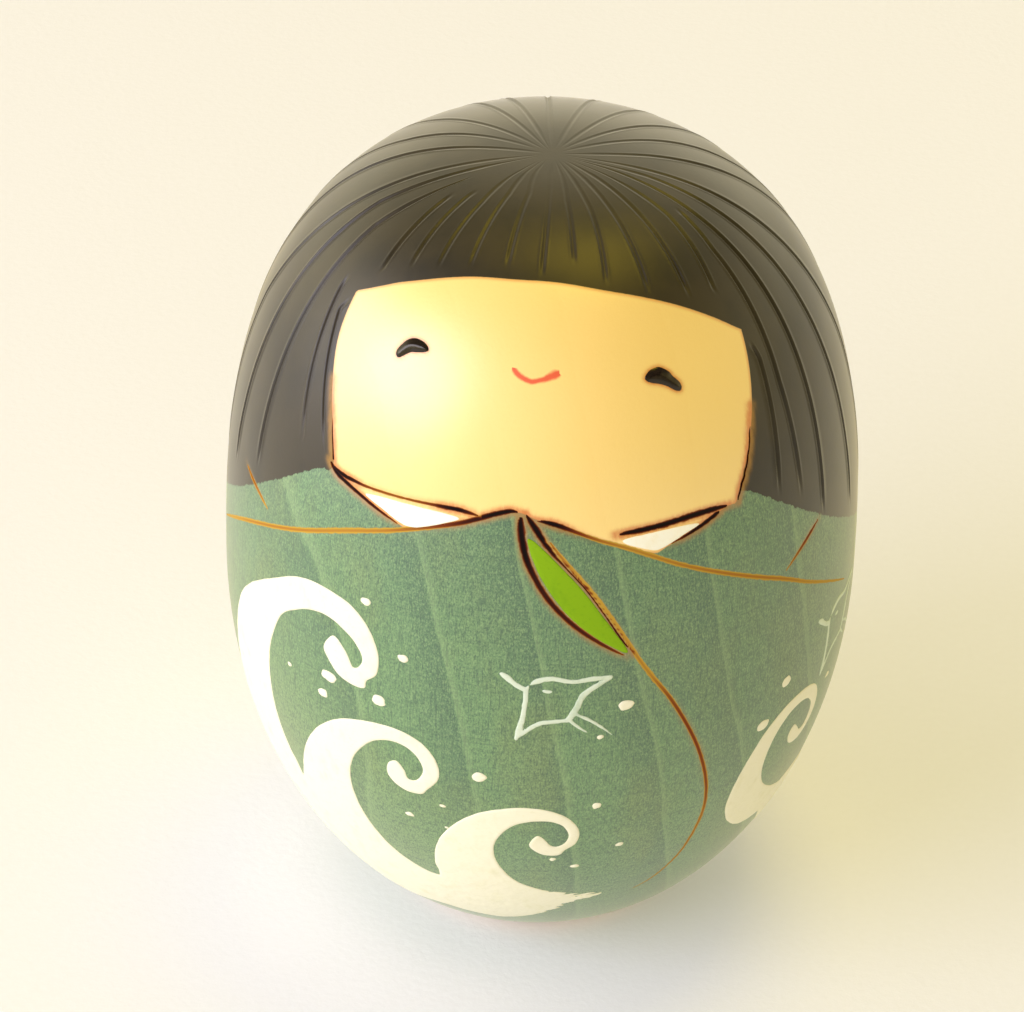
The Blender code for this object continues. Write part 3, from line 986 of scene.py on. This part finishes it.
WOOD_LIGHT, WOOD_DARK = srgb(250, 217, 130), srgb(241, 200, 104)
WOOD_BURN, STAIN_BURN = srgb(206, 116, 20), srgb(156, 114, 40)
STAIN_LIGHT, STAIN_DARK = srgb(97, 139, 85), srgb(62, 104, 66)
# The second colour here is painted light, laid on the lower left of the robe.
STAIN_HAZE, STAIN_PAINTED_LIGHT = srgb(114, 136, 74), srgb(138, 162, 92)
STAIN_SPECK, STAIN_FLECK = srgb(138, 168, 110), srgb(36, 76, 54)
HAIR_LIGHT, HAIR_DARK = srgb(48, 40, 19), srgb(34, 28, 11)
BURN_STOPS = [
    (0.0, srgb(186, 148, 56)),
    (0.15, srgb(164, 110, 42)),
    (0.45, srgb(122, 56, 22)),
    (0.75, srgb(66, 24, 12)),
    (1.0, srgb(20, 8, 6)),
]


def doll_finish():
    """Coated wood face, lacquered hair, stained robe and burnt drawing on one turned block."""
    finish = Finish("lacquered_and_stained_wood", 0.42)
    face_edge = finish.field("face")
    fibre = finish.noise(0.5, (1, 1, 4), 3, 0.65, 12.0)
    ragged = finish.math("SUBTRACT", fibre, 0.5)
    calm = finish.step(face_edge, -2.0, -0.8, 0.9, 0.12)
    hair_edge = finish.math("MULTIPLY_ADD", ragged, calm, finish.field("hair"))
    hair = finish.step(hair_edge, -0.07, 0.07)
    face = finish.step(finish.math("MULTIPLY_ADD", ragged, 0.1, face_edge), -0.06, 0.06)
    bare = finish.field("underside")

    wood = wood_colour(finish, WOOD_LIGHT, WOOD_DARK, 0.2)
    scorch = finish.step(face_edge, 0.55, 0.0)
    wood = finish.mix(finish.math("MULTIPLY", scorch, 0.6), wood, WOOD_BURN)
    wood = finish.tinge(wood, WOOD_BURN, finish.field("eye_halo"), 0.1, 1.0, 0.85)
    stain = stain_colour(finish)
    colour = finish.mix(face, stain, wood)
    cloud = finish.noise(7, (1, 1, 1.5), 3, 0.6, 5.0)
    black = finish.tinge(HAIR_LIGHT, HAIR_DARK, cloud, 0.35, 0.7)
    colour = finish.mix(hair, colour, black)

    halo = finish.math("MULTIPLY", finish.field("burn_halo"), finish.step(fibre, 0.2, 0.7, 0.6, 1.0))
    singed = finish.mix(face, STAIN_BURN, WOOD_BURN)
    colour = finish.mix(finish.step(halo, 0.03, 0.75, 0, 0.9), colour, singed)
    wobble = finish.math("MULTIPLY", finish.math("SUBTRACT", finish.noise(0.7, detail=3), 0.5), 0.9)
    found = None
    for name in BURNT_LINES:
        found = drawn_line(finish, name, found)
    burn = finish.step(finish.math("ADD", found, wobble), 1.25, 0.75)
    depth = finish.math("SUBTRACT", finish.field("burn_dark"), finish.step(found, 0.3, 1.15, 0, 0.6))
    colour = finish.mix(burn, colour, finish.ramp(depth, BURN_STOPS))
    mouth = finish.step(finish.math("ADD", drawn_line(finish, "mouth"), wobble), 1.8, 0.5)
    colour = finish.mix(finish.math("MULTIPLY", mouth, 0.9), colour, srgb(228, 56, 18))
    raw = wood_colour(finish, srgb(228, 196, 140), srgb(196, 150, 92))
    finish.set("Base Color", finish.mix(bare, colour, raw))

    peel = finish.noise(0.5, detail=2, roughness=0.5, shift=6.0)
    skin = finish.bump(peel, 0.014)
    pores = finish.math("MULTIPLY", fibre, finish.math("SUBTRACT", 1.0, hair))
    skin = finish.bump(pores, 0.012, skin)
    finish.set("Normal", skin)
    shine = finish.step(hair, 0, 1, 0.5, 0.4)
    shine = finish.math("MULTIPLY_ADD", finish.noise(5, detail=3, shift=8.0), 0.12, shine)
    finish.set("Roughness", finish.mix(face, shine, (0.4, 0.4, 0.4, 1)))
    finish.set("Coat Weight", finish.math("MULTIPLY_ADD", burn, -0.96, 1.0))
    finish.set("Coat IOR", finish.step(hair, 0, 1, 1.6, 1.42))
    nap = finish.step(hair, 0, 1, 0.32, 0.42)
    finish.set("Sheen Weight", finish.math("MULTIPLY_ADD", burn, -0.45, nap, clamp=True))
    finish.set("Coat Roughness", finish.step(face, 0, 1, 0.42, 0.33))
    finish.set("Sheen Roughness", 0.35)
    finish.set("Sheen Tint", (1.0, 0.94, 0.78, 1))
    gloss = finish.step(hair, 0, 1, 0.6, 0.15)
    finish.set("Specular IOR Level", finish.math("MULTIPLY_ADD", burn, -0.55, gloss, clamp=True))
    return finish.material


def drawn_line(finish, name, nearer=None):
    """Distance to a drawn line as a share of its half width, or to the nearer of two."""
    away = finish.math("ABSOLUTE", finish.field("burn_" + name))
    hidden = finish.math("SUBTRACT", 1.0, finish.field("drawn_" + name))
    away = finish.math("MULTIPLY_ADD", hidden, 12.0, away)
    return away if nearer is None else finish.math("MINIMUM", nearer, away)


def paint_finish(name, colour, thin, roughness=0.5):
    """Brushed paint: thinner and duller in cloudy patches and towards its edge."""
    finish = Finish(name, roughness)
    finish.set("Specular IOR Level", 0.3)
    patch = finish.noise(2.4, (1, 1, 1.6), 3, 0.6, 3.0)
    bristle = finish.noise(0.35, (1.6, 1.6, 1), 2, 0.6)
    base = finish.tinge(colour, thin, patch, 0.5, 0.8, 0.5)
    base = finish.tinge(base, thin, bristle, 0.55, 0.75, 0.25)
    edge = finish.step(finish.field("inset"), 0.12, 0.0, 0, 0.5)
    finish.set("Base Color", finish.mix(edge, base, thin))
    ridges = finish.bump(bristle, 0.02)
    finish.set("Normal", finish.bump(patch, 0.03, ridges))
    return finish.material


def gloss_finish():
    finish = Finish("gloss_black_lacquer", 0.14)
    finish.set("Specular Tint", (1.0, 0.95, 0.76, 1))
    dust = finish.noise(0.2, detail=3)
    dusty = finish.step(dust, 0.4, 0.8)
    finish.set("Base Color", finish.mix(dusty, srgb(20, 12, 10), srgb(44, 30, 24)))
    finish.set("Normal", finish.bump(dust, 0.004))
    return finish.material


def plug_finish():
    finish = Finish("bare_end_grain", 0.7)
    finish.set("Base Color", wood_colour(finish, srgb(226, 192, 136), srgb(180, 134, 82)))
    finish.set("Normal", finish.bump(finish.noise(0.4, (1, 1, 1), 3), 0.05))
    return finish.material


def felt_finish():
    """Pressed wool: matted fibres in two directions and a soft nap."""
    finish = Finish("green_felt", 0.95)
    along = finish.noise(0.16, (6, 1, 1), 3, 0.7)
    across = finish.noise(0.16, (1, 6, 1), 3, 0.7, 5.0)
    fibres = finish.math("MAXIMUM", along, across)
    colour = finish.mix(finish.step(fibres, 0.45, 0.75), srgb(58, 78, 52), srgb(104, 128, 92))
    finish.set("Base Color", colour)
    finish.set("Sheen Weight", 0.4)
    finish.set("Normal", finish.bump(fibres, 0.15))
    return finish.material


FLOOR_GLOW = 0.2


def floor_finish():
    """Pale paper: a plain sheet with a faint tooth."""
    finish = Finish("pale_paper", 0.85)
    tooth = finish.noise(1.2, detail=3, roughness=0.6)
    finish.set("Base Color", finish.mix(tooth, FLOOR_LIGHT, FLOOR_SHADE))
    finish.set("Normal", finish.bump(tooth, 0.05))
    finish.set("Specular IOR Level", 0.2)
    finish.set("Emission Color", (1.0, 0.9, 0.78, 1))
    finish.set("Emission Strength", FLOOR_GLOW)
    return finish.material


FLOOR_LIGHT, FLOOR_SHADE = srgb(224, 227, 234), srgb(220, 223, 229)
PAINT_WHITE, PAINT_THIN = srgb(241, 238, 212), srgb(224, 221, 180)
LIME, LIME_THIN = srgb(130, 172, 0), srgb(96, 142, 0)
CREAM, CREAM_THIN = srgb(255, 253, 236), srgb(246, 234, 192)
PLOVER_WHITE, PLOVER_THIN = srgb(214, 226, 204), srgb(160, 184, 150)

# -------- The pieces

body = make_body(doll_finish())
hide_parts("turned_body")
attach(body, "root")

white = paint_finish("brushed_white_paint", PAINT_WHITE, PAINT_THIN)
wash = paint_finish("thin_white_paint", PLOVER_WHITE, PLOVER_THIN)
lime = paint_finish("lime_paint", LIME, LIME_THIN, 0.75)
cream = paint_finish("collar_white_paint", CREAM, CREAM_THIN)
gloss = gloss_finish()


def add_film(name, field, outlines, material, slot, thickness=0.09, **more):
    """A paint film that rides on the doll."""
    film = make_film(name, field, window_round(outlines), material, thickness, **more)
    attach(film, "root")
    return film


front_waves = [BIG_WAVE, MIDDLE_WAVE, SMALL_WAVE, FOAM]
front_field = dry_brush(areas_field(front_waves), 3, 14, 8, 21, 1.6)
add_film("front_waves", front_field, front_waves, white, "white_paint", relief=brush_relief)
add_film("far_wave", areas_field([FAR_WAVE]), [FAR_WAVE], white, "white_paint", relief=brush_relief)


def add_spray(name, dots):
    centres = [[dot[:2]] for dot in dots]
    add_film(name, dots_field(dots), centres, white, "white_paint", edge=0.3)


def add_plover(name, turn, rise):
    strokes = [[(a + turn, z + rise) for a, z, _ in stroke] for stroke in PLOVER]
    field = strokes_field(PLOVER, turn, rise)
    add_film(name, field, strokes, wash, "white_paint", thickness=0.05, edge=0.2)


add_spray("spray", SPRAY)
add_plover("plover", 0, 0)
add_plover("second_plover", SECOND_PLOVER_TURN, SECOND_PLOVER_DROP)

for name, patch in (("left_collar", LEFT_PATCH), ("right_collar", RIGHT_PATCH)):
    add_film(name, areas_field([patch]), [patch], cream, "white_paint", thickness=0.05)
add_film("robe_lining", areas_field([LINING]), [LINING], lime, "lime_paint", thickness=0.05)
eye_shape = {"thickness": 0.36, "edge": 1.3, "cell": 0.12}
for name, eye in (("left_eye", LEFT_EYE), ("right_eye", RIGHT_EYE)):
    add_film(name, areas_field([eye], ragged=0.01), [eye], gloss, "gloss_black", **eye_shape)

BACK_FOAM = [
    (60, 25.6), (70, 27), (80, 24), (92, 20), (104, 16.5), (118, 15.5), (132, 18.5), (148, 16),
    (165, 15), (180, 17.5), (196, 18.5), (212, 16), (228, 17), (246, 20), (262, 22), (276, 25),
    (284, 24), (284, 10), (262, 9), (235, 10.5), (205, 8.8), (175, 10), (150, 9), (120, 10.2),
    (96, 9.4), (74, 13), (60, 21),
]
back_waves = turned([SMALL_WAVE], 116, -0.5) + turned([MIDDLE_WAVE], 199, -5.5)
back_waves += turned([SMALL_WAVE], 230, 0.5) + [BACK_FOAM]
BACK_SPRAY = [
    (91, 38, 0.7, 0.6), (131, 33, 0.5, 0.4), (137, 27.5, 0.6, 0.45), (146, 35, 0.45, 0.35),
    (170, 22.5, 0.4, 0.3), (187, 37, 0.8, 0.6), (192, 31, 0.5, 0.4), (246, 31, 0.6, 0.5),
    (252, 36.5, 0.9, 0.7), (262, 32, 0.5, 0.4), (268, 41, 0.6, 0.5), (100, 46, 0.5, 0.4),
]
add_film("back_waves", areas_field(back_waves), back_waves, white, "white_paint", relief=brush_relief)
add_spray("back_spray", BACK_SPRAY)

for node, material in (("bore_plug", plug_finish()), ("felt_pad", felt_finish())):
    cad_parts[node].data.materials.clear()
    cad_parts[node].data.materials.append(material)

# -------- Floor, light and camera


def add_floor():
    corners = [(x * FLOOR_REACH, y * FLOOR_REACH, 0) for x, y in ((-1, -1), (1, -1), (1, 1), (-1, 1))]
    mesh = bpy.data.meshes.new("floor")
    mesh.from_pydata(corners, [], [(0, 1, 2, 3)])
    mesh.materials.append(floor_finish())
    floor = bpy.data.objects.new("floor", mesh)
    bpy.context.scene.collection.objects.link(floor)


def add_light(name, place, size, watts, colour, reflected=True):
    """A round soft light aimed at the doll."""
    light = bpy.data.lights.new(name, "AREA")
    light.shape = "DISK"
    light.size = size
    light.energy = watts
    light.color = colour
    made = bpy.data.objects.new(name, light)
    made.location = place
    made.rotation_euler = (MIDDLE - Vector(place)).to_track_quat("-Z", "Y").to_euler()
    made.visible_glossy = reflected
    bpy.context.scene.collection.objects.link(made)


def set_world(bright, dim):
    """A soft room: bright towards the horizon, dark overhead, dimmer and warmer to the front right."""
    world = bpy.data.worlds.new("soft_room")
    room = NodeTree(world, "Background")
    direction = room.tree.nodes.new("ShaderNodeTexCoord").outputs["Generated"]
    across = room.vector("DOT_PRODUCT", direction, (0.65, -0.7, 0))
    across = room.step(across, -0.3, 0.8, shape="LINEAR")
    room.set("Color", room.mix(across, bright, dim))
    up = room.vector("DOT_PRODUCT", direction, (0, 0, 1))
    room.set("Strength", room.step(up, 0.12, 0.75, 1, OVERHEAD_SHARE))
    bpy.context.scene.world = world


FLOOR_REACH = 3.0
MIDDLE = Vector((0, 0, 0.05))
OVERHEAD_SHARE = 0.15
CAMERA_DISTANCE = 0.640
CAMERA_ELEVATION = math.radians(34.93)
CAMERA_AZIMUTH = math.radians(2.2)
CAMERA_ROLL = math.radians(1.76)
CAMERA_LENS, CAMERA_SHIFT = 176.4, (-0.0279, 0.0329)


def add_camera():
    camera = bpy.data.cameras.new("camera")
    camera.lens = CAMERA_LENS
    camera.sensor_width = 36
    camera.shift_x, camera.shift_y = CAMERA_SHIFT
    flat, rise = math.cos(CAMERA_ELEVATION), math.sin(CAMERA_ELEVATION)
    east, south = math.sin(CAMERA_AZIMUTH), math.cos(CAMERA_AZIMUTH)
    towards = Vector((flat * east, -flat * south, rise))
    right = Vector((south, east, 0))
    up = towards.cross(right)
    x = right * math.cos(CAMERA_ROLL) + up * math.sin(CAMERA_ROLL)
    y = up * math.cos(CAMERA_ROLL) - right * math.sin(CAMERA_ROLL)
    turn = Matrix((x, y, towards)).transposed()
    made = bpy.data.objects.new("camera", camera)
    place = Matrix.Translation(MIDDLE + towards * CAMERA_DISTANCE)
    made.matrix_world = place @ turn.to_4x4()
    bpy.context.scene.collection.objects.link(made)
    bpy.context.scene.camera = made


add_floor()
set_world((2.0, 1.82, 1.25, 1), (0.42, 0.36, 0.18, 1))
add_light("window", (-1.35, -1.0, 0.9), 1.3, 17.5, (0.95, 0.94, 1.32))
add_light("side_window", (-1.75, -0.15, 0.6), 1.3, 10.5, (0.98, 0.97, 1.15))
add_light("warm_bounce", (1.4, -0.1, 0.6), 1.2, 1.8, (1.0, 0.8, 0.3))
add_light("front_fill", (-0.2, -1.4, 0.8), 1.4, 6, (0.99, 0.95, 0.85), reflected=False)
add_light("lamp_glow", (0.17, 0.16, 1.0), 0.42, 2.7, (1.0, 0.76, 0.04))
add_camera()
bpy.context.scene.view_settings.view_transform = "Standard"
